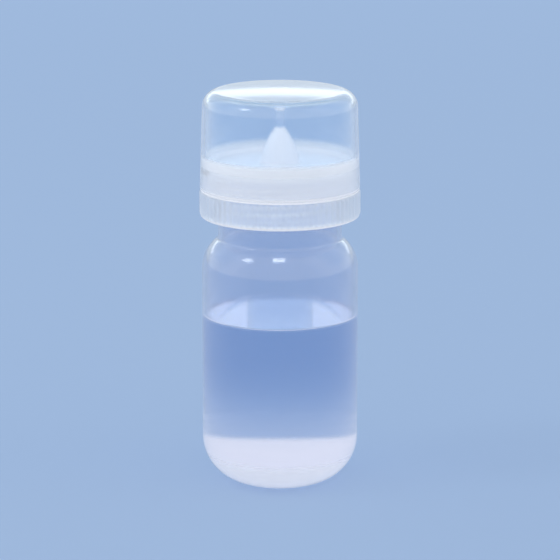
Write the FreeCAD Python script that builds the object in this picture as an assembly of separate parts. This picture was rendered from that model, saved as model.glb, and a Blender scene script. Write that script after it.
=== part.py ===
"""Dropping bottle for reagents: threaded bottle, nozzle cap, overcap, sealing pin, sealing ring and liquid.

Millimetres, +Z up, with the origin at the centre of the foot. Every piece is turned about the Z axis, so
outlines are (radius, height) points in the XZ plane.
"""
import FreeCAD, Part
import math
import os

# Driving dimensions
BODY_RADIUS = 22.0
WALL = 1.2
BASE_CORNER = 13.2
SHOULDER_Z = 61.9
SHOULDER_RADIUS = 10.3
NECK_RADIUS = 17.4
NECK_PITCH = 25.4 / 6
RIM_Z = 76.9
SPLIT_Z = 84.7
PLATE_Z = 93.2
NOZZLE_TIP_Z = 102.0
CROWN_Z = 112.3
CROWN_RISE = 0.7
OVERCAP_PITCH = 3.9
LIQUID_Z = 48.8

# Bottle
FOOT_OUTER = BODY_RADIUS - BASE_CORNER
FOOT_INNER = FOOT_OUTER - 2.6
PUSH_UP = 1.2
PIP_RADIUS = 1.1
PIP_HEIGHT = 0.4
NECK_BLEND = 1.2
BORE_RADIUS = NECK_RADIUS - WALL
LIP_ROUND = 0.35
NECK_THREAD_DEPTH = 1.3
NECK_THREAD_BASE = 2.4
NECK_THREAD_CREST = 1.2
NECK_THREAD_Z = 78.55
NECK_THREAD_ANGLE = 180
NECK_THREAD_TURNS = 2.1

# Nozzle cap
DISH_DEPTH = 1.2
PLATE_THICKNESS = 1.4
FLOOR_Z = PLATE_Z - DISH_DEPTH
SEAT_Z = FLOOR_Z - PLATE_THICKNESS
SKIRT_INNER = 18.95
STUB_RADIUS = 20.45
STUB_ROUND = 0.55
DISH_RIM = 1.3
COLLAR_ROOT = 22.35
COLLAR_CREST = 22.6
COLLAR_WALL = 1.1
COLLAR_FLANGE = 1.2
COLLAR_ROUND = 0.5
RIB_COUNT = 72
RIB_SHARE = 0.5
CAP_THREAD_LAG = 0.75
CAP_THREAD_TURNS = 1.6
PLUG_CLEARANCE = 0.05
PLUG_WALL = 1.0
PLUG_DEPTH = 4.4
NOZZLE_BASE = 5.4
NOZZLE_WAIST = 4.15
NOZZLE_TIP = 1.6
NOZZLE_WALL = 1.15
ORIFICE_RADIUS = 1.05
ORIFICE_LENGTH = 1.8

# Overcap and its thread on the stub
SPLIT_GAP = 0.15
OVERCAP_BASE = 22.5
OVERCAP_TOP = 21.8
OVERCAP_CORNER = 4.5
OVERCAP_WALL = 1.0
OVERCAP_BORE = 21.35
STUB_THREAD_DEPTH = 0.75
STUB_THREAD_BASE = 1.9
STUB_THREAD_CREST = 1.0
STUB_THREAD_Z = 87.55
STUB_THREAD_ANGLE = 120
STUB_THREAD_TURNS = 1.0
OVERCAP_THREAD_LAG = 0.25
OVERCAP_THREAD_TURNS = 1.0

# Sealing pin, sealing ring and liquid
PIN_RADIUS = 1.0
PIN_END_Z = 100.3
PIN_HEAD_RADIUS = 1.85
PIN_HEAD_Z = 107.8
PAD_Z = 109.2
PAD_RADIUS = 3.0
SPIGOT_RADIUS = 1.2
SPIGOT_LENGTH = 1.4
SPIGOT_CLEARANCE = 0.03
RING_THICKNESS = 1.0
RING_OUTER = 18.6
RING_INNER = 16.3
LIP_Z = SEAT_Z - RING_THICKNESS
LIQUID_GAP = 0.03

THREAD_ROOT = 0.25  # how far a thread's section reaches into the wall that carries it


def polar(centre, radius, degrees):
    """Point at an angle on a circle in the (radius, height) plane."""
    angle = math.radians(degrees)
    return centre[0] + radius * math.cos(angle), centre[1] + radius * math.sin(angle)


def turned(start, *steps):
    """Solid of revolution. A step is a corner (radius, height), or (way point, end) for an arc."""
    edges = []
    here = FreeCAD.Vector(start[0], 0, start[1])
    first = here
    for step in steps + (start,):
        is_arc = isinstance(step[0], tuple)
        end = step[1] if is_arc else step
        there = FreeCAD.Vector(end[0], 0, end[1])
        if is_arc:
            way = FreeCAD.Vector(step[0][0], 0, step[0][1])
            edges.append(Part.Arc(here, way, there).toShape())
        elif (there - here).Length > 1e-6:
            edges.append(Part.makeLine(here, there))
        here = there
    face = Part.Face(Part.Wire(edges))
    return face.revolve(FreeCAD.Vector(0, 0, 0), FreeCAD.Vector(0, 0, 1), 360)


def corner_arc(centre, radius, first, last):
    """Arc step from one angle to another round a centre."""
    return polar(centre, radius, (first + last) / 2), polar(centre, radius, last)


def on_dome(span, rise, rim_z, radius):
    """Point at a radius on a shallow dome about the axis, which rises from a rim at a height."""
    ball = (span ** 2 + rise ** 2) / (2 * rise)
    return radius, rim_z + rise - ball + math.sqrt(ball ** 2 - radius ** 2)


def helix_ridge(radius, depth, base, crest, pitch, turns, height, angle):
    """Right-hand thread ridge of trapezoid section. A negative depth stands inwards."""
    spine = Part.Wire(Part.makeHelix(pitch, pitch * turns, radius).Edges)
    root = radius - math.copysign(THREAD_ROOT, depth)
    spread = base / 2 + THREAD_ROOT * (base - crest) / 2 / abs(depth)
    corners = [(root, -spread), (radius + depth, -crest / 2), (radius + depth, crest / 2), (root, spread)]
    points = [FreeCAD.Vector(r, 0, z) for r, z in corners]
    section = Part.makePolygon(points + points[:1])
    ridge = spine.makePipeShell([section], True, True)
    ridge.rotate(FreeCAD.Vector(0, 0, 0), FreeCAD.Vector(0, 0, 1), angle)
    ridge.translate(FreeCAD.Vector(0, 0, height))
    return ridge


def neck_blend(offset):
    """Shoulder and neck blend at a distance inside the outer skin: (end of shoulder, way point, neck point)."""
    centre = (BODY_RADIUS - SHOULDER_RADIUS, SHOULDER_Z)
    across = NECK_RADIUS + NECK_BLEND - centre[0]
    up = math.sqrt((SHOULDER_RADIUS + NECK_BLEND) ** 2 - across ** 2)
    blend = (NECK_RADIUS + NECK_BLEND, SHOULDER_Z + up)
    slope = math.degrees(math.atan2(up, across))
    shoulder = corner_arc(centre, SHOULDER_RADIUS - offset, 0, slope)
    neck = corner_arc(blend, NECK_BLEND + offset, 180 + slope, 180)
    return shoulder, neck


def base_steps(offset, top):
    """Steps from the push-up to the wall at a distance inside the outer skin, ending at a height."""
    centre = (FOOT_OUTER, BASE_CORNER)
    radius = BASE_CORNER - offset
    return [
        (on_dome(FOOT_INNER, PUSH_UP, offset, FOOT_INNER / 2), (FOOT_INNER, offset)),
        (FOOT_OUTER, offset),
        corner_arc(centre, radius, -90, 0),
        (FOOT_OUTER + radius, top),
    ]


def make_bottle():
    """Thin-walled bottle: push-up base, rounded shoulder, and a neck with a helical thread."""
    outer_shoulder, outer_neck = neck_blend(0)
    inner_shoulder, inner_neck = neck_blend(WALL)
    lip_outer = (NECK_RADIUS - LIP_ROUND, LIP_Z - LIP_ROUND)
    lip_inner = (BORE_RADIUS + LIP_ROUND, LIP_Z - LIP_ROUND)
    pip_z = PUSH_UP - PIP_HEIGHT
    outside = turned(
        (0, pip_z),
        (PIP_RADIUS / 2, pip_z),
        on_dome(FOOT_INNER, PUSH_UP, 0, PIP_RADIUS),
        *base_steps(0, SHOULDER_Z),
        outer_shoulder,
        outer_neck,
        (NECK_RADIUS, lip_outer[1]),
        corner_arc(lip_outer, LIP_ROUND, 0, 90),
        (0, LIP_Z),
    )
    inside = turned(
        (0, PUSH_UP + WALL),
        *base_steps(WALL, SHOULDER_Z),
        inner_shoulder,
        inner_neck,
        (BORE_RADIUS, lip_inner[1]),
        corner_arc(lip_inner, LIP_ROUND, 180, 90),
        (lip_inner[0], LIP_Z + WALL),
        (0, LIP_Z + WALL),
    )
    thread = helix_ridge(NECK_RADIUS, NECK_THREAD_DEPTH, NECK_THREAD_BASE, NECK_THREAD_CREST,
                         NECK_PITCH, NECK_THREAD_TURNS, NECK_THREAD_Z, NECK_THREAD_ANGLE)
    return outside.cut(inside).fuse(thread)


def make_collar():
    """Ribbed grip ring with rounded edges, before its core is taken out."""
    edges = []
    step = 360 / RIB_COUNT
    for i in range(RIB_COUNT):
        ends = []
        for share, radius in ((0, COLLAR_ROOT), (RIB_SHARE / 2, COLLAR_CREST), (RIB_SHARE, COLLAR_ROOT),
                              ((1 + RIB_SHARE) / 2, COLLAR_ROOT), (1, COLLAR_ROOT)):
            x, y = polar((0, 0), radius, (i + share) * step)
            ends.append(FreeCAD.Vector(x, y, RIM_Z))
        edges.append(Part.Arc(*ends[:3]).toShape())
        edges.append(Part.Arc(*ends[2:]).toShape())
    prism = Part.Face(Part.Wire(edges)).extrude(FreeCAD.Vector(0, 0, SPLIT_Z - RIM_Z))
    low = (COLLAR_CREST - COLLAR_ROUND, RIM_Z + COLLAR_ROUND)
    high = (COLLAR_CREST - COLLAR_ROUND, SPLIT_Z - COLLAR_ROUND)
    envelope = turned(
        (0, RIM_Z),
        (low[0], RIM_Z),
        corner_arc(low, COLLAR_ROUND, -90, 0),
        (COLLAR_CREST, high[1]),
        corner_arc(high, COLLAR_ROUND, 0, 90),
        (0, SPLIT_Z),
    )
    return prism.common(envelope)


def make_nozzle():
    """Bullet-shaped nozzle and the hollow inside it, both as solids of revolution."""
    middle = (FLOOR_Z + NOZZLE_TIP_Z) / 2
    outside = turned(
        (0, SEAT_Z),
        (NOZZLE_BASE, SEAT_Z),
        (NOZZLE_BASE, FLOOR_Z),
        ((NOZZLE_WAIST, middle), (NOZZLE_TIP, NOZZLE_TIP_Z)),
        (0, NOZZLE_TIP_Z),
    )
    throat = NOZZLE_TIP_Z - ORIFICE_LENGTH
    hollow = turned(
        (0, SEAT_Z - PLUG_DEPTH),
        (NOZZLE_BASE - NOZZLE_WALL, SEAT_Z - PLUG_DEPTH),
        (NOZZLE_BASE - NOZZLE_WALL, SEAT_Z),
        ((NOZZLE_WAIST - NOZZLE_WALL, middle), (ORIFICE_RADIUS, throat)),
        (ORIFICE_RADIUS, NOZZLE_TIP_Z + WALL),
        (0, NOZZLE_TIP_Z + WALL),
    )
    return outside, hollow


def make_nozzle_cap():
    """Double-walled ribbed collar, threaded stub, dished plate, plug seal and nozzle."""
    stub_top = (STUB_RADIUS - STUB_ROUND, PLATE_Z - STUB_ROUND)
    dish_edge = STUB_RADIUS - DISH_RIM
    stub = turned(
        (0, RIM_Z + COLLAR_ROUND),
        (STUB_RADIUS, RIM_Z + COLLAR_ROUND),
        (STUB_RADIUS, stub_top[1]),
        corner_arc(stub_top, STUB_ROUND, 0, 90),
        (dish_edge, PLATE_Z),
        (dish_edge - DISH_DEPTH, FLOOR_Z),
        (0, FLOOR_Z),
    )
    gap = turned(
        (STUB_RADIUS, RIM_Z),
        (COLLAR_ROOT - COLLAR_WALL, RIM_Z),
        (COLLAR_ROOT - COLLAR_WALL, SPLIT_Z - COLLAR_FLANGE),
        (STUB_RADIUS, SPLIT_Z - COLLAR_FLANGE),
    )
    below_stub = Part.makeCylinder(STUB_RADIUS, COLLAR_ROUND, FreeCAD.Vector(0, 0, RIM_Z))
    thread_bore = Part.makeCylinder(SKIRT_INNER, SEAT_Z - RIM_Z, FreeCAD.Vector(0, 0, RIM_Z))
    plug_outer = BORE_RADIUS - PLUG_CLEARANCE
    plug = turned(
        (plug_outer - PLUG_WALL, SEAT_Z),
        (plug_outer - PLUG_WALL, SEAT_Z - PLUG_DEPTH + PLUG_WALL / 2),
        (plug_outer - PLUG_WALL / 2, SEAT_Z - PLUG_DEPTH),
        (plug_outer, SEAT_Z - PLUG_DEPTH + PLUG_WALL),
        (plug_outer, SEAT_Z),
    )
    nozzle, hollow = make_nozzle()
    stub_thread = helix_ridge(STUB_RADIUS, STUB_THREAD_DEPTH, STUB_THREAD_BASE, STUB_THREAD_CREST,
                              OVERCAP_PITCH, STUB_THREAD_TURNS, STUB_THREAD_Z, STUB_THREAD_ANGLE)
    # Half a pitch below the neck's own ridge at the same angle
    lag = CAP_THREAD_LAG
    cap_thread = helix_ridge(SKIRT_INNER, -NECK_THREAD_DEPTH, NECK_THREAD_BASE, NECK_THREAD_CREST,
                             NECK_PITCH, CAP_THREAD_TURNS, NECK_THREAD_Z + NECK_PITCH * (lag - 0.5),
                             NECK_THREAD_ANGLE + 360 * lag)
    shell = make_collar().fuse(stub).cut([gap, below_stub, thread_bore])
    return shell.fuse([plug, nozzle, stub_thread, cap_thread]).cut(hollow)


def make_overcap():
    """Thin dome with a crowned top, a thread inside its open end and a socket for the pin."""
    corner = (OVERCAP_TOP - OVERCAP_CORNER, CROWN_Z - OVERCAP_CORNER)
    inner_corner = OVERCAP_CORNER - OVERCAP_WALL
    base_z = SPLIT_Z + SPLIT_GAP
    outside = turned(
        (0, base_z),
        (OVERCAP_BASE, base_z),
        (OVERCAP_TOP, corner[1]),
        corner_arc(corner, OVERCAP_CORNER, 0, 90),
        (on_dome(corner[0], CROWN_RISE, CROWN_Z, corner[0] / 2), (0, CROWN_Z + CROWN_RISE)),
    )
    inside = turned(
        (0, base_z - WALL),
        (OVERCAP_BORE, base_z - WALL),
        (OVERCAP_BORE, PLATE_Z),
        (OVERCAP_TOP - OVERCAP_WALL, corner[1]),
        corner_arc(corner, inner_corner, 0, 90),
        (0, corner[1] + inner_corner),
    )
    pad = Part.makeCylinder(PAD_RADIUS, CROWN_Z - PAD_Z, FreeCAD.Vector(0, 0, PAD_Z))
    socket = Part.makeCylinder(SPIGOT_RADIUS + SPIGOT_CLEARANCE, SPIGOT_LENGTH + SPIGOT_CLEARANCE,
                               FreeCAD.Vector(0, 0, PAD_Z))
    # Half a pitch below the stub's own ridge at the same angle
    lag = OVERCAP_THREAD_LAG
    thread = helix_ridge(OVERCAP_BORE, -STUB_THREAD_DEPTH, STUB_THREAD_BASE, STUB_THREAD_CREST,
                         OVERCAP_PITCH, OVERCAP_THREAD_TURNS, STUB_THREAD_Z + OVERCAP_PITCH * (lag - 0.5),
                         STUB_THREAD_ANGLE + 360 * lag)
    return outside.cut(inside).fuse([pad, thread]).cut(socket)


def make_sealing_pin():
    """Round-ended pin with a conical head and a spigot for the overcap's socket."""
    end = (0, PIN_END_Z + PIN_RADIUS)
    return turned(
        (0, PIN_END_Z),
        corner_arc(end, PIN_RADIUS, -90, 0),
        (PIN_RADIUS, PIN_HEAD_Z),
        (PIN_HEAD_RADIUS, PAD_Z),
        (SPIGOT_RADIUS, PAD_Z),
        (SPIGOT_RADIUS, PAD_Z + SPIGOT_LENGTH),
        (0, PAD_Z + SPIGOT_LENGTH),
    )


def make_sealing_ring():
    """Flat gasket between the neck's lip and the nozzle cap's plate."""
    return turned(
        (RING_INNER, LIP_Z),
        (RING_OUTER, LIP_Z),
        (RING_OUTER, SEAT_Z),
        (RING_INNER, SEAT_Z),
    )


def make_reagent():
    """Liquid that fills the lower part of the bottle, a hair inside its wall."""
    offset = WALL + LIQUID_GAP
    return turned((0, PUSH_UP + offset), *base_steps(offset, LIQUID_Z), (0, LIQUID_Z))


PIECES = {
    "bottle": make_bottle,
    "nozzle_cap": make_nozzle_cap,
    "overcap": make_overcap,
    "sealing_pin": make_sealing_pin,
    "sealing_ring": make_sealing_ring,
    "reagent": make_reagent,
}

os.makedirs("parts", exist_ok=True)
for name, make in PIECES.items():
    shape = make()
    shape.exportStep(f"parts/{name}.step")
    print(name, shape.ShapeType, len(shape.Solids), shape.isValid(), round(shape.Volume, 1))
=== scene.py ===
import math

import bmesh
import bpy
import numpy as np
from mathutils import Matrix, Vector


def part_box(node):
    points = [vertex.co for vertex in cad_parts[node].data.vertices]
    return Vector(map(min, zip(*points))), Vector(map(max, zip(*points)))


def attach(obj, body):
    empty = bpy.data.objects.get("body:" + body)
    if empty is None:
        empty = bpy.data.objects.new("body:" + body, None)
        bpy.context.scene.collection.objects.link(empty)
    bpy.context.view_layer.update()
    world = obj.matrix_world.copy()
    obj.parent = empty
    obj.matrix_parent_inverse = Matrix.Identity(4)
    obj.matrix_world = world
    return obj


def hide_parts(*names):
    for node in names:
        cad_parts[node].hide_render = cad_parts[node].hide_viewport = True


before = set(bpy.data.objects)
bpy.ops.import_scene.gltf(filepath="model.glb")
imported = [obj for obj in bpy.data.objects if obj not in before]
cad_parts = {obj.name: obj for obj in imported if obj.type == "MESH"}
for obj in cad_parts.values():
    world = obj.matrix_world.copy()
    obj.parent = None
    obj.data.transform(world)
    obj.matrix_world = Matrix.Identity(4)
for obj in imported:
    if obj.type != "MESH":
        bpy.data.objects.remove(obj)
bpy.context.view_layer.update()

MM = 0.001
TAU = 2 * math.pi


def edge_mm(node, corner, axis):
    """One coordinate of a CAD node's box in millimetres. Corner 0 is the lowest, 1 the highest."""
    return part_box(node)[corner][axis] / MM


# Bottle
BODY_RADIUS = edge_mm("bottle", 1, 0)
LIP_Z = edge_mm("bottle", 1, 2)
WALL = 1.2
BASE_CORNER = 13.2
PUSH_UP = 1.2
PUSH_UP_RADIUS = 6.2
PIP_RADIUS = 1.1
PIP_HEIGHT = 0.4
SHOULDER_Z = 61.9
SHOULDER_RADIUS = 10.3
NECK_RADIUS = 17.4
NECK_BLEND = 1.2
LIP_ROUND = 0.35
BORE_RADIUS = NECK_RADIUS - WALL
NECK_PITCH = 25.4 / 6
NECK_THREAD_DEPTH = 1.3
NECK_THREAD_BASE = 2.4
NECK_THREAD_CREST = 1.2
NECK_THREAD_Z = 78.55
NECK_THREAD_ANGLE = 180

# Nozzle cap
RIM_Z = edge_mm("nozzle_cap", 0, 2)
NOZZLE_TIP_Z = edge_mm("nozzle_cap", 1, 2)
COLLAR_CREST = edge_mm("nozzle_cap", 1, 0)
RIB_HEIGHT = 0.25
COLLAR_ROOT = COLLAR_CREST - RIB_HEIGHT
RIB_COUNT = 72
SPLIT_GAP = 0.15
SPLIT_Z = edge_mm("overcap", 0, 2) - SPLIT_GAP
SEAT_Z = edge_mm("sealing_ring", 1, 2)
PLATE_THICKNESS = 1.4
DISH_DEPTH = 1.2
FLOOR_Z = SEAT_Z + PLATE_THICKNESS
PLATE_Z = FLOOR_Z + DISH_DEPTH
SKIRT_INNER = 18.95
STUB_RADIUS = 20.45
STUB_ROUND = 0.55
DISH_RIM = 1.3
COLLAR_WALL = 1.1
COLLAR_FLANGE = 1.2
COLLAR_ROUND = 0.5
STUB_PITCH = 3.9
STUB_THREAD_DEPTH = 0.75
STUB_THREAD_BASE = 1.9
STUB_THREAD_CREST = 1.0
STUB_THREAD_Z = 87.55
STUB_THREAD_ANGLE = 120
PLUG_CLEARANCE = 0.05
PLUG_RADIUS = BORE_RADIUS - PLUG_CLEARANCE
PLUG_WALL = 1.0
PLUG_DEPTH = 4.4
NOZZLE_BASE = 5.4
NOZZLE_WAIST = 4.15
NOZZLE_TIP = 1.6
NOZZLE_WALL = 1.15
ORIFICE_RADIUS = 1.05
ORIFICE_LENGTH = 1.8

# Overcap, pin, ring and liquid
OVERCAP_LOW = edge_mm("overcap", 0, 2)
CROWN_TOP = edge_mm("overcap", 1, 2)
CROWN_RISE = 0.7
CROWN_Z = CROWN_TOP - CROWN_RISE
OVERCAP_BASE = 22.5
OVERCAP_TOP = 21.8
OVERCAP_CORNER = 4.5
OVERCAP_WALL = 1.0
OVERCAP_BORE = 21.35
PAD_RADIUS = 3.0
SOCKET_RADIUS = 1.23
SOCKET_DEPTH = 1.4
PIN_HEAD_HEIGHT = 1.4
PIN_LOW = edge_mm("sealing_pin", 0, 2)
PIN_TOP = edge_mm("sealing_pin", 1, 2)
PAD_Z = PIN_TOP - SOCKET_DEPTH
PIN_HEAD_Z = PAD_Z - PIN_HEAD_HEIGHT
PIN_RADIUS = 1.0
PIN_HEAD = edge_mm("sealing_pin", 1, 0)
SPIGOT_RADIUS = 1.2
LIQUID_TOP = edge_mm("reagent", 1, 2)
LIQUID_GAP = 0.03
MENISCUS = 0.35
MENISCUS_WIDTH = 1.6
THREAD_FADE = 0.08

# Looks
PLASTIC_IOR = 1.5
LIQUID_IOR = 1.33
# Heights in millimetres over which the bottle's tint turns pale towards the base: painted light from below on
# the lower wall and base.
PAINTED_LIGHT_FROM_Z = 34.0
PAINTED_LIGHT_TO_Z = 12.0
LIGHT_LEAK = 0.7
BACK_LIGHT = 0.5
WAVINESS = 0.02
PALE = (0.98, 0.98, 1.0)
CLEAR_BLUE = (0.97, 0.99, 1.0)


# ---- Geometry ----

def straight(start, end, count=2):
    """Points along a line, both ends included."""
    return [tuple(np.array(start) + (np.array(end) - np.array(start)) * t) for t in np.linspace(0, 1, count)]


def arc(centre, radius, first, last, count=10):
    """Points along a circle from one angle to another, in degrees."""
    angles = [math.radians(a) for a in np.linspace(first, last, count)]
    return [(centre[0] + radius * math.cos(a), centre[1] + radius * math.sin(a)) for a in angles]


def dome(span, rise, rim_z, inner, outer, count=10):
    """Points of a shallow dome about the axis, from one radius to another."""
    ball = (span ** 2 + rise ** 2) / (2 * rise)
    radii = np.linspace(inner, outer, count)
    return [(float(r), rim_z + rise - ball + math.sqrt(ball ** 2 - r ** 2)) for r in radii]


def three_point_arc(start, way, end, count=20):
    """Points along the circle through three points."""
    (ax, ay), (bx, by), (cx, cy) = start, way, end
    d = 2 * (ax * (by - cy) + bx * (cy - ay) + cx * (ay - by))
    a2, b2, c2 = ax ** 2 + ay ** 2, bx ** 2 + by ** 2, cx ** 2 + cy ** 2
    centre = ((a2 * (by - cy) + b2 * (cy - ay) + c2 * (ay - by)) / d,
              (a2 * (cx - bx) + b2 * (ax - cx) + c2 * (bx - ax)) / d)
    first = math.degrees(math.atan2(ay - centre[1], ax - centre[0]))
    last = math.degrees(math.atan2(cy - centre[1], cx - centre[0]))
    return arc(centre, math.dist(centre, start), first, last, count)


class Thread:
    """Relief of a right-hand thread ridge that fades at both ends. A negative depth stands inwards."""

    def __init__(self, depth, base, crest, pitch, turns, height, angle):
        self.depth, self.base, self.crest, self.pitch = depth, base, crest, pitch
        self.turns, self.height, self.turn = turns, height, angle / 360

    def __call__(self, heights, turns_round):
        """Radial offset on a grid of angles (in turns) by heights."""
        ridge = np.zeros((len(turns_round), len(heights)))
        for lap in range(-1, math.ceil(self.turns) + 2):
            along = turns_round - self.turn + lap
            fade = np.clip(np.minimum(along, self.turns - along) / THREAD_FADE, 0, 1)
            off = np.abs(heights[None, :] - (self.height + self.pitch * along)[:, None])
            stands = np.clip((self.base / 2 - off) / ((self.base - self.crest) / 2), 0, 1)
            ridge = np.maximum(ridge, stands * (fade * fade * (3 - 2 * fade))[:, None])
        return self.depth * ridge


def grip_ribs(heights, turns_round):
    """Relief of rounded vertical grip ribs that fade out at both ends of the collar."""
    swell = 0.5 + 0.5 * np.cos(TAU * (RIB_COUNT * turns_round - 0.25))
    middle, half = (heights.max() + heights.min()) / 2, (heights.max() - heights.min()) / 2
    fade = np.clip((half - np.abs(heights - middle)) / 0.45, 0, 1)
    return RIB_HEIGHT * swell[:, None] * fade[None, :]


def lathe(name, sections, steps=192, loop=False, crease=35):
    """Closed mesh turned from sections of an outline. A section is a list of points, or (points, relief)."""
    turns_round = np.arange(steps) / steps
    radii, heights = [], []
    for section in sections:
        points, relief = section if isinstance(section, tuple) else (section, None)
        r = np.array([p[0] for p in points])
        z = np.array([p[1] for p in points])
        grid = np.repeat(r[None, :], steps, 0)
        radii.append(grid + relief(z, turns_round) if relief else grid)
        heights.append(z)
    radii, heights = np.concatenate(radii, 1), np.concatenate(heights)
    count = len(heights)
    angle = (TAU * turns_round)[:, None]
    co = np.stack([radii * np.cos(angle), radii * np.sin(angle), np.repeat(heights[None, :], steps, 0)], -1)
    faces = []
    for j in range(steps):
        here, there = j * count, (j + 1) % steps * count
        for i in range(count if loop else count - 1):
            k = (i + 1) % count
            faces.append((here + i, here + k, there + k, there + i))
    mesh = bpy.data.meshes.new(name)
    mesh.from_pydata((co.reshape(-1, 3) * MM).tolist(), [], faces)
    tidy = bmesh.new()
    tidy.from_mesh(mesh)
    bmesh.ops.remove_doubles(tidy, verts=tidy.verts, dist=1e-7)
    bmesh.ops.recalc_face_normals(tidy, faces=tidy.faces)
    tidy.to_mesh(mesh)
    tidy.free()
    mesh.shade_smooth()
    mesh.set_sharp_from_angle(angle=math.radians(crease))
    piece = bpy.data.objects.new(name, mesh)
    bpy.context.scene.collection.objects.link(piece)
    return piece


def body_sections(offset, top):
    """Outline of the bottle's base and wall at a distance inside the outer skin, up to a height."""
    foot = BODY_RADIUS - BASE_CORNER
    radius = BASE_CORNER - offset
    first = PIP_RADIUS if offset == 0 else 0
    return [
        dome(PUSH_UP_RADIUS, PUSH_UP, offset, first, PUSH_UP_RADIUS),
        arc((foot, BASE_CORNER), radius, -90, 0, 90),
        straight((foot + radius, BASE_CORNER + 1), (foot + radius, top - 0.5), 24),
    ]


def shoulder_sections(offset):
    """Outline of the shoulder and its blend into the neck, at a distance inside the outer skin."""
    centre = (BODY_RADIUS - SHOULDER_RADIUS, SHOULDER_Z)
    across = NECK_RADIUS + NECK_BLEND - centre[0]
    up = math.sqrt((SHOULDER_RADIUS + NECK_BLEND) ** 2 - across ** 2)
    slope = math.degrees(math.atan2(up, across))
    blend = (NECK_RADIUS + NECK_BLEND, SHOULDER_Z + up)
    return [
        arc(centre, SHOULDER_RADIUS - offset, 0, slope, 50),
        arc(blend, NECK_BLEND + offset, 180 + slope, 180, 16)[1:],
    ]


def make_bottle():
    """Blown bottle: gate pip, push-up, rounded base and shoulder, threaded neck and rounded lip."""
    thread = Thread(NECK_THREAD_DEPTH, NECK_THREAD_BASE, NECK_THREAD_CREST, NECK_PITCH, turns=2.1,
                    height=NECK_THREAD_Z, angle=NECK_THREAD_ANGLE)
    neck_low = shoulder_sections(0)[1][-1][1] + 0.4
    outside = [
        [(0, PUSH_UP - PIP_HEIGHT), (PIP_RADIUS / 2, PUSH_UP - PIP_HEIGHT)],
        *body_sections(0, SHOULDER_Z),
        *shoulder_sections(0),
        (straight((NECK_RADIUS, neck_low), (NECK_RADIUS, LIP_Z - LIP_ROUND), 100), thread),
        arc((NECK_RADIUS - LIP_ROUND, LIP_Z - LIP_ROUND), LIP_ROUND, 0, 90, 6)[1:],
    ]
    inside = [
        *body_sections(WALL, SHOULDER_Z),
        *shoulder_sections(WALL),
        straight((BORE_RADIUS, neck_low), (BORE_RADIUS, LIP_Z - LIP_ROUND), 8),
        arc((BORE_RADIUS + LIP_ROUND, LIP_Z - LIP_ROUND), LIP_ROUND, 180, 90, 6)[1:],
    ]
    back = [section[::-1] for section in inside[::-1]]
    piece = lathe("bottle_shell", outside + back, steps=256)
    level = (LIQUID_TOP - MENISCUS / 2) * MM
    for face in piece.data.polygons:
        up = face.normal.z
        faces_in = up > 0.01 or (abs(up) <= 0.01 and face.normal.xy.dot(face.center.xy) < 0)
        face.material_index = int(faces_in and face.center.z < level)
    return piece


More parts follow.
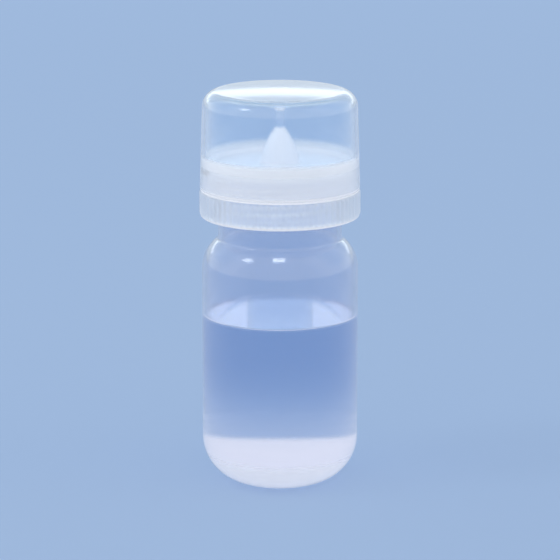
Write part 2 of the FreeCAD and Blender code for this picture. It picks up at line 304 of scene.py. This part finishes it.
def make_nozzle_cap():
    """Nozzle, dished plate, threaded stub, ribbed double-walled collar and plug seal in one moulding."""
    stub_thread = Thread(STUB_THREAD_DEPTH, STUB_THREAD_BASE, STUB_THREAD_CREST, STUB_PITCH, turns=1.0,
                         height=STUB_THREAD_Z, angle=STUB_THREAD_ANGLE)
    cap_thread = Thread(-NECK_THREAD_DEPTH, NECK_THREAD_BASE, NECK_THREAD_CREST, NECK_PITCH, turns=1.6,
                        height=NECK_THREAD_Z + NECK_PITCH / 4, angle=NECK_THREAD_ANGLE + 270)
    middle = (FLOOR_Z + NOZZLE_TIP_Z) / 2
    tip_round = 0.3
    base_blend = 0.7
    dish = STUB_RADIUS - DISH_RIM
    throat = NOZZLE_TIP_Z - ORIFICE_LENGTH
    bullet = three_point_arc((NOZZLE_TIP, NOZZLE_TIP_Z - tip_round), (NOZZLE_WAIST, middle),
                             (NOZZLE_BASE, FLOOR_Z + base_blend), 24)
    hollow = three_point_arc((NOZZLE_BASE - NOZZLE_WALL, SEAT_Z), (NOZZLE_WAIST - NOZZLE_WALL, middle),
                             (ORIFICE_RADIUS, throat), 20)
    gap = COLLAR_ROOT - COLLAR_WALL
    plug_in, plug_low = PLUG_RADIUS - PLUG_WALL, SEAT_Z - PLUG_DEPTH
    sections = [
        arc((NOZZLE_TIP - tip_round, NOZZLE_TIP_Z - tip_round), tip_round, 90, 0, 5)[:-1],
        bullet,
        arc((NOZZLE_BASE + base_blend, FLOOR_Z + base_blend), base_blend, 180, 270, 6)[1:],
        straight((NOZZLE_BASE + 2 * base_blend, FLOOR_Z), (dish - 2.2, FLOOR_Z), 6),
        arc((dish - 1.5, PLATE_Z), DISH_DEPTH, -90, -20, 8),
        arc((STUB_RADIUS - STUB_ROUND, PLATE_Z - STUB_ROUND), STUB_ROUND, 110, 0, 10),
        (straight((STUB_RADIUS, PLATE_Z - 0.7), (STUB_RADIUS, SPLIT_Z + 0.3), 60), stub_thread),
        arc((STUB_RADIUS + 0.25, SPLIT_Z + 0.25), 0.25, 180, 270, 4)[1:],
        arc((COLLAR_ROOT - 0.4, SPLIT_Z - 0.4), 0.4, 90, 0, 6),
        (straight((COLLAR_ROOT, SPLIT_Z - 0.42), (COLLAR_ROOT, RIM_Z + COLLAR_ROUND + 0.02), 26), grip_ribs),
        arc((COLLAR_ROOT - COLLAR_ROUND, RIM_Z + COLLAR_ROUND), COLLAR_ROUND, 0, -90, 6),
        [(gap, RIM_Z), (gap, SPLIT_Z - COLLAR_FLANGE), (STUB_RADIUS, SPLIT_Z - COLLAR_FLANGE)],
        [(STUB_RADIUS, RIM_Z + 0.5), (SKIRT_INNER, RIM_Z + 0.5)],
        (straight((SKIRT_INNER, RIM_Z + 0.52), (SKIRT_INNER, SEAT_Z), 90), cap_thread),
        [(PLUG_RADIUS, SEAT_Z), (PLUG_RADIUS, plug_low + PLUG_WALL), (PLUG_RADIUS - PLUG_WALL / 2, plug_low)],
        [(plug_in, plug_low + PLUG_WALL / 2), (plug_in, SEAT_Z)],
        hollow,
        [(ORIFICE_RADIUS, NOZZLE_TIP_Z - 0.1), (ORIFICE_RADIUS + 0.1, NOZZLE_TIP_Z)],
    ]
    return lathe("nozzle_cap_moulding", sections, steps=RIB_COUNT * 8, loop=True)


def make_overcap():
    """Thin dome with a crowned top, a thread inside its open end and the pin's socket."""
    thread = Thread(-STUB_THREAD_DEPTH, STUB_THREAD_BASE, STUB_THREAD_CREST, STUB_PITCH, turns=1.0,
                    height=STUB_THREAD_Z - STUB_PITCH / 4, angle=STUB_THREAD_ANGLE + 90)
    corner_r, corner_z = OVERCAP_TOP - OVERCAP_CORNER, CROWN_Z - OVERCAP_CORNER
    ceiling = CROWN_Z - OVERCAP_WALL
    sections = [
        dome(corner_r, CROWN_RISE, CROWN_Z, 0, corner_r, 16),
        arc((corner_r, corner_z), OVERCAP_CORNER, 85, 0, 60),
        straight((OVERCAP_TOP + 0.03, corner_z - 1), (OVERCAP_BASE, OVERCAP_LOW + 0.3), 20),
        arc((OVERCAP_BASE - 0.3, OVERCAP_LOW + 0.3), 0.3, -10, -90, 5),
        [(OVERCAP_BORE + 0.2, OVERCAP_LOW), (OVERCAP_BORE, OVERCAP_LOW + 0.2)],
        (straight((OVERCAP_BORE, OVERCAP_LOW + 0.22), (OVERCAP_BORE, PLATE_Z), 70), thread),
        straight((OVERCAP_BORE - 0.01, PLATE_Z + 0.5), (OVERCAP_TOP - OVERCAP_WALL, corner_z - 0.5), 12),
        arc((corner_r, corner_z), OVERCAP_CORNER - OVERCAP_WALL, 0, 90, 40),
        straight((corner_r - 1, ceiling), (PAD_RADIUS + 0.4, ceiling), 10),
        [(PAD_RADIUS, ceiling - 0.4), (PAD_RADIUS, PAD_Z + 0.15), (PAD_RADIUS - 0.15, PAD_Z)],
        [(SOCKET_RADIUS, PAD_Z), (SOCKET_RADIUS, PIN_TOP + 0.03), (0, PIN_TOP + 0.03)],
    ]
    return lathe("overcap_dome", sections, steps=256)


def make_pin():
    """Sealing pin with a round end, a conical head and a spigot."""
    sections = [
        arc((0, PIN_LOW + PIN_RADIUS), PIN_RADIUS, -90, 0, 12),
        straight((PIN_RADIUS, PIN_LOW + 1.2), (PIN_RADIUS, PIN_HEAD_Z - 0.3), 8),
        arc((PIN_RADIUS + 0.5, PIN_HEAD_Z - 0.3), 0.5, 180, 145, 5)[1:],
        [(PIN_HEAD, PAD_Z - 0.02), (SPIGOT_RADIUS, PAD_Z - 0.02), (SPIGOT_RADIUS, PIN_TOP), (0, PIN_TOP)],
    ]
    return lathe("pin_moulding", sections, steps=64)


def make_ring():
    """Flat gasket with eased edges."""
    low, high = edge_mm("sealing_ring", 0, 2), edge_mm("sealing_ring", 1, 2)
    outer, inner = edge_mm("sealing_ring", 1, 0), BORE_RADIUS + 0.1
    ease = 0.15
    corners = ((outer - ease, low + ease, -90), (outer - ease, high - ease, 0),
               (inner + ease, high - ease, 90), (inner + ease, low + ease, 180))
    sections = [arc((r, z), ease, first, first + 90, 5) for r, z, first in corners]
    return lathe("gasket", sections, steps=128, loop=True)


def make_liquid():
    """Liquid with a level surface that climbs slightly at the wall."""
    offset = WALL + LIQUID_GAP
    edge = BODY_RADIUS - offset
    level = LIQUID_TOP - MENISCUS
    surface = [(edge - MENISCUS_WIDTH * (1 - t), LIQUID_TOP - MENISCUS * (1 - t * t * t))
               for t in np.linspace(1, 0, 10)]
    sections = [
        *body_sections(offset, level),
        surface,
        straight((edge - MENISCUS_WIDTH - 1, level), (0, level), 8),
    ]
    return lathe("liquid_fill", sections, steps=256)


# ---- Materials ----

class Nodes:
    """Short way to build one node tree, for a material or a world."""

    def __init__(self, owner, output="ShaderNodeOutputMaterial"):
        self.owner = owner
        self.output = output
        owner.use_nodes = True
        self.tree = owner.node_tree
        self.tree.nodes.clear()

    def add(self, kind, inputs=None, **settings):
        """New node with its settings and inputs set. An input is a value or another node's output."""
        node = self.tree.nodes.new(kind)
        for key, value in settings.items():
            setattr(node, key, value)
        for key, value in (inputs or {}).items():
            if isinstance(value, bpy.types.NodeSocket):
                self.tree.links.new(value, node.inputs[key])
            else:
                node.inputs[key].default_value = value
        return node

    def math(self, operation, *values):
        return self.add("ShaderNodeMath", dict(enumerate(values)), operation=operation).outputs[0]

    def ramp(self, value, first, last, low, high):
        """Smooth change from low to high as the value goes from first to last."""
        inputs = {"Value": value, "From Min": first, "From Max": last, "To Min": low, "To Max": high}
        return self.add("ShaderNodeMapRange", inputs, interpolation_type="SMOOTHSTEP").outputs[0]

    def blend(self, factor, a, b):
        """Colour between two colours."""
        inputs = {"Factor": factor, "A": (*a, 1) if isinstance(a, tuple) else a, "B": (*b, 1)}
        node = self.tree.nodes.new("ShaderNodeMix")
        node.data_type = "RGBA"
        for socket in node.inputs:
            if socket.name in inputs and socket.type in ("RGBA", "VALUE") and socket.enabled:
                value = inputs[socket.name]
                if isinstance(value, bpy.types.NodeSocket):
                    self.tree.links.new(value, socket)
                else:
                    socket.default_value = value
        return next(socket for socket in node.outputs if socket.enabled)

    def mix(self, factor, a, b):
        return self.add("ShaderNodeMixShader", {0: factor, 1: a, 2: b}).outputs[0]

    def finish(self, shader):
        out = self.add(self.output)
        self.tree.links.new(shader, out.inputs["Surface"])
        return self.owner


def facing(nodes):
    """Cosine of the angle between the view ray and the surface, the same on both sides."""
    geometry = nodes.add("ShaderNodeNewGeometry")
    dot = nodes.add("ShaderNodeVectorMath", {0: geometry.outputs["Normal"], 1: geometry.outputs["Incoming"]},
                    operation="DOT_PRODUCT")
    return nodes.math("ABSOLUTE", dot.outputs["Value"])


def lighting_ray(nodes):
    """1 on rays that only carry light to another surface, 0 on rays that are seen."""
    path = nodes.add("ShaderNodeLightPath")
    return nodes.math("MAXIMUM", path.outputs["Is Shadow Ray"], path.outputs["Is Diffuse Ray"])


def height_of(position, nodes):
    return nodes.add("ShaderNodeSeparateXYZ", {0: position}).outputs["Z"]


def band(nodes, height, low, high, blend):
    """1 where the height is between two heights in millimetres, with soft edges."""
    rise = nodes.ramp(height, (low - blend / 2) * MM, (low + blend / 2) * MM, 0, 1)
    fall = nodes.ramp(height, (high - blend / 2) * MM, (high + blend / 2) * MM, 1, 0)
    return nodes.math("MULTIPLY", rise, fall)


def milkiness(nodes, position, milk, edge_milk, edge_power, thick):
    """Milky share of a wall. It grows at grazing angles, has faint streaks, and peaks where it is thick."""
    streak_space = nodes.add("ShaderNodeVectorMath", {0: position, 1: (1.0, 1.0, 0.35)},
                             operation="MULTIPLY").outputs[0]
    streaks = nodes.add("ShaderNodeTexNoise", {"Vector": streak_space, "Scale": 130.0, "Detail": 3.0})
    rim = nodes.math("POWER", nodes.math("SUBTRACT", 1.0, facing(nodes)), edge_power)
    cloud = nodes.math("MULTIPLY_ADD", rim, edge_milk - milk, milk)
    cloud = nodes.math("MULTIPLY", cloud, nodes.math("MULTIPLY_ADD", streaks.outputs[0], 0.3, 0.85))
    for low, high, blend, amount in thick:
        there = band(nodes, height_of(position, nodes), low, high, blend)
        cloud = nodes.math("MAXIMUM", cloud, nodes.math("MULTIPLY", there, amount))
    return cloud


def milk_shader(nodes, colour):
    """Light scattered back and light scattered through."""
    diffuse = nodes.add("ShaderNodeBsdfDiffuse", {"Color": (*colour, 1)}).outputs[0]
    through = nodes.add("ShaderNodeBsdfTranslucent", {"Color": (*colour, 1)}).outputs[0]
    return nodes.mix(BACK_LIGHT, diffuse, through)


def skin(name, tint, milk_colour, milk, edge_milk, edge_power=2.2, haze=0.15, roughness=0.1,
         thick=(), liquid_shade_tint=None):
    """Milky plastic: a clear refracting share and a scattering share. Lighting rays pass straight."""
    nodes = Nodes(bpy.data.materials.new(name))
    position = nodes.add("ShaderNodeTexCoord").outputs["Object"]
    waves = nodes.add("ShaderNodeTexNoise", {"Vector": position, "Scale": 90.0, "Detail": 1.0})
    bump = nodes.add("ShaderNodeBump", {"Height": waves.outputs[0], "Strength": 0.5,
                                        "Distance": WAVINESS * MM})
    light_only = lighting_ray(nodes)
    cloud = milkiness(nodes, position, milk, edge_milk, edge_power, thick)
    share = nodes.math("MULTIPLY", cloud, nodes.math("MULTIPLY_ADD", light_only, -LIGHT_LEAK, 1.0))
    # Under the liquid level the wall's tint turns darker and bluer: painted shade of the liquid zone.
    if liquid_shade_tint:
        height = height_of(position, nodes)
        tint = nodes.blend(band(nodes, height, -1.0, LIQUID_TOP - MENISCUS, 0.3), tint, liquid_shade_tint)
        # Towards the base the tint turns pale: painted light from below.
        tint = nodes.blend(nodes.ramp(height, PAINTED_LIGHT_FROM_Z * MM, PAINTED_LIGHT_TO_Z * MM, 0, 0.9), tint, PALE)
    else:
        tint = (*tint, 1)
    refraction = nodes.add("ShaderNodeBsdfRefraction", {"Color": tint, "Roughness": haze, "IOR": PLASTIC_IOR,
                                                        "Normal": bump.outputs[0]}).outputs[0]
    shine = nodes.add("ShaderNodeBsdfGlossy", {"Color": (1, 1, 1, 1), "Roughness": roughness,
                                               "Normal": bump.outputs[0]}).outputs[0]
    fresnel = nodes.add("ShaderNodeFresnel", {"IOR": PLASTIC_IOR, "Normal": bump.outputs[0]}).outputs[0]
    straight_through = nodes.add("ShaderNodeBsdfTransparent", {"Color": (*PALE, 1)}).outputs[0]
    body = nodes.mix(share, nodes.mix(light_only, refraction, straight_through),
                     milk_shader(nodes, milk_colour))
    seen_fresnel = nodes.math("MULTIPLY", fresnel, nodes.math("SUBTRACT", 1.0, light_only))
    return nodes.finish(nodes.mix(seen_fresnel, body, shine))


def wetted(name, milk_colour, thick):
    """Inner face of the wall under the liquid. The liquid's own face carries the refraction there.

    Its milk shows from the liquid's side only, because the outer skin has its own from the other side.
    """
    nodes = Nodes(bpy.data.materials.new(name))
    position = nodes.add("ShaderNodeTexCoord").outputs["Object"]
    cloud = milkiness(nodes, position, 0.0, 0.0, 1.0, thick)
    share = nodes.math("MULTIPLY", cloud, nodes.math("MULTIPLY_ADD", lighting_ray(nodes), -LIGHT_LEAK, 1.0))
    from_wall = nodes.add("ShaderNodeNewGeometry").outputs["Backfacing"]
    share = nodes.math("MULTIPLY", share, nodes.math("SUBTRACT", 1.0, from_wall))
    clear = nodes.add("ShaderNodeBsdfTransparent", {"Color": (1, 1, 1, 1)}).outputs[0]
    return nodes.finish(nodes.mix(share, clear, milk_shader(nodes, milk_colour)))


def liquid():
    """Clear watery liquid: air above its surface, plastic round its sides. Lighting rays pass straight."""
    nodes = Nodes(bpy.data.materials.new("clear_reagent"))
    position = nodes.add("ShaderNodeTexCoord").outputs["Object"]
    height = height_of(position, nodes)
    on_top = nodes.math("GREATER_THAN", height, (LIQUID_TOP - MENISCUS - 0.01) * MM)
    side_ior = LIQUID_IOR / PLASTIC_IOR
    ior = nodes.math("MULTIPLY_ADD", on_top, LIQUID_IOR - side_ior, side_ior)
    water = nodes.add("ShaderNodeBsdfGlass", {"Color": (*PALE, 1), "Roughness": 0.0, "IOR": ior}).outputs[0]
    clear = nodes.add("ShaderNodeBsdfTransparent", {"Color": (*PALE, 1)}).outputs[0]
    return nodes.finish(nodes.mix(lighting_ray(nodes), water, clear))


def rubber():
    """Soft pale gasket."""
    nodes = Nodes(bpy.data.materials.new("soft_gasket"))
    position = nodes.add("ShaderNodeTexCoord").outputs["Object"]
    grain = nodes.add("ShaderNodeTexNoise", {"Vector": position, "Scale": 3000.0, "Detail": 3.0})
    bump = nodes.add("ShaderNodeBump", {"Height": grain.outputs[0], "Strength": 0.4, "Distance": 0.03 * MM})
    body = nodes.add("ShaderNodeBsdfPrincipled", {"Base Color": (0.72, 0.77, 0.83, 1), "Roughness": 0.6,
                                                  "Normal": bump.outputs[0]})
    return nodes.finish(body.outputs[0])


# ---- Stage ----

def floor_paint():
    """Plain pale blue paint. Light that bounces off it onto the object is kept more neutral."""
    nodes = Nodes(bpy.data.materials.new("floor_paint"))
    bounce = nodes.add("ShaderNodeLightPath").outputs["Is Diffuse Ray"]
    colour = nodes.blend(bounce, (0.38, 0.495, 0.68), (0.64, 0.66, 0.67))
    body = nodes.add("ShaderNodeBsdfDiffuse", {"Color": colour})
    return nodes.finish(body.outputs[0])


def make_floor():
    """Wide plain floor that reaches far behind the bottle."""
    mesh = bpy.data.meshes.new("floor")
    mesh.from_pydata([(-6, -3, 0), (6, -3, 0), (6, 9, 0), (-6, 9, 0)], [], [(0, 1, 2, 3)])
    floor = bpy.data.objects.new("floor", mesh)
    floor.data.materials.append(floor_paint())
    bpy.context.scene.collection.objects.link(floor)


def place(obj, azimuth, elevation, distance, target):
    """Puts an object on a sphere round a target and points it there. Azimuth 0 is in front."""
    a, e = math.radians(azimuth), math.radians(elevation)
    back = Vector((math.sin(a) * math.cos(e), -math.cos(a) * math.cos(e), math.sin(e)))
    obj.location = target + back * distance
    obj.rotation_mode = "QUATERNION"
    obj.rotation_quaternion = (-back).to_track_quat("-Z", "Y")


def soft_light(name, azimuth, elevation, distance, width, height, power, colour=CLEAR_BLUE):
    """Area light aimed at the bottle. Sizes in metres, power in watts."""
    light = bpy.data.lights.new(name, "AREA")
    light.shape = "RECTANGLE"
    light.size, light.size_y, light.energy, light.color = width, height, power, colour
    lamp = bpy.data.objects.new(name, light)
    lamp.visible_camera = False
    bpy.context.scene.collection.objects.link(lamp)
    place(lamp, azimuth, elevation, distance, Vector((0, 0, 0.05)))
    return lamp


def make_world():
    """Soft surroundings: bright in front, dim behind, with a brighter belt along the horizon behind."""
    world = bpy.data.worlds.new("soft_surroundings")
    nodes = Nodes(world, "ShaderNodeOutputWorld")
    direction = nodes.add("ShaderNodeTexCoord").outputs["Generated"]
    axes = nodes.add("ShaderNodeSeparateXYZ", {0: direction}).outputs
    behind = nodes.blend(nodes.ramp(axes["Z"], 0.20, 0.36, 0, 1), (0.60, 0.69, 0.77), (0.36, 0.51, 0.70))
    colour = nodes.blend(nodes.ramp(axes["Y"], -0.3, 0.3, 1, 0), behind, (1.07, 1.05, 1.02))
    sky = nodes.add("ShaderNodeBackground", {"Color": colour, "Strength": 1.0})
    nodes.finish(sky.outputs[0])
    bpy.context.scene.world = world


def make_lights(key_group):
    """Soft studio lights. The key one lights only a group of pieces, so the overcap has no glare from it."""
    key = soft_light("key", -3, 65, 1.0, 0.24, 0.25, 1.3)
    key.light_linking.receiver_collection = key_group
    soft_light("glint", -68, 49, 1.0, 0.20, 0.20, 0.6)
    soft_light("back", 180, 15.5, 1.4, 2.4, 0.15, 1.5, (0.90, 0.96, 1.0))
    soft_light("left", -100, 30, 1.2, 1.6, 1.6, 3.0)
    soft_light("right", 100, 30, 1.2, 1.6, 1.6, 2.7)


def make_camera():
    """Long lens, looking down a little."""
    camera = bpy.data.objects.new("camera", bpy.data.cameras.new("camera"))
    camera.data.sensor_width = 36
    camera.data.lens = 202.8
    bpy.context.scene.collection.objects.link(camera)
    place(camera, 0, 13.2, 0.890, Vector((0, 0, 0.0581)))
    bpy.context.scene.camera = camera


# Where walls are thick, so milkier: low and high in millimetres, blend, milky share
BASE_MILK = ((-1.0, 8.5, 4.0, 0.85),)
INNER_BASE_MILK = ((-1.0, 8.8, 1.2, 1.0),)
CAP_MILK = ((PLATE_Z - 3.0, NOZZLE_TIP_Z + 2, 3.0, 0.9), (PLATE_Z - 1.6, PLATE_Z + 0.1, 0.5, 1.0),
            (RIM_Z - 0.2, RIM_Z + 0.8, 0.4, 1.0), (SPLIT_Z - 0.4, SPLIT_Z + 0.3, 0.4, 0.9))
OVERCAP_MILK = ((SPLIT_Z - 1, PLATE_Z + 0.7, 1.0, 0.5), (PLATE_Z - 2.1, PLATE_Z + 1.3, 1.6, 0.65),
                (OVERCAP_LOW - 0.3, OVERCAP_LOW + 0.75, 0.4, 0.95), (110.5, 114.5, 2.0, 0.08))
# The pin head is solid, so milky. Its full milk also stands in for the key lamp's highlight on the overcap
# above it, so it is partly a painted highlight.
PIN_HEAD_MILK_AND_HIGHLIGHT = ((PIN_HEAD_Z - 0.2, PIN_TOP + 0.3, 0.4, 1.0),)

PIECES = (
    # maker, CAD node, body, record slot, materials
    (make_bottle, "bottle", "bottle", "bottle_plastic",
     [skin("bottle_plastic_look", (0.835, 0.885, 0.955), (0.97, 0.96, 1.0), 0.06, 0.40,
           # The second tint is painted shade, darker and bluer under the liquid level.
           thick=BASE_MILK, liquid_shade_tint=(0.62, 0.73, 0.88)),
      wetted("wetted_plastic_look", (1.0, 0.99, 1.0), INNER_BASE_MILK)]),
    (make_nozzle_cap, "nozzle_cap", "nozzle_cap", "cap_plastic",
     [skin("cap_plastic_look", (0.93, 0.97, 1.0), (1.0, 1.0, 1.0), 0.2, 0.5, roughness=0.3, haze=0.3,
           thick=CAP_MILK)]),
    (make_overcap, "overcap", "overcap", "overcap_plastic",
     [skin("overcap_plastic_look", (0.915, 0.96, 1.0), (1.0, 1.0, 1.0), 0.04, 1.0, edge_power=3.4,
           thick=OVERCAP_MILK)]),
    (make_pin, "sealing_pin", "pin", "pin_plastic",
     [skin("pin_plastic_look", (0.94, 0.97, 1.0), (0.95, 0.97, 1.0), 0.12, 0.4, thick=PIN_HEAD_MILK_AND_HIGHLIGHT)]),
    (make_ring, "sealing_ring", "seal", "ring_rubber", [rubber()]),
    (make_liquid, "reagent", "bottle", "liquid", [liquid()]),
)

key_group = bpy.data.collections.new("lit_by_key")
for maker, node, body, slot, materials in PIECES:
    piece = maker()
    for material in materials:
        piece.data.materials.append(material)
    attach(piece, body)
    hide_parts(node)
    if node != "overcap":
        key_group.objects.link(piece)

make_floor()
make_world()
make_lights(key_group)
make_camera()
scene = bpy.context.scene
scene.view_settings.view_transform = "Standard"
scene.cycles.transparent_max_bounces = 48
scene.cycles.max_bounces = 64
scene.cycles.transmission_bounces = 48
scene.cycles.glossy_bounces = 48
scene.cycles.use_denoising = True
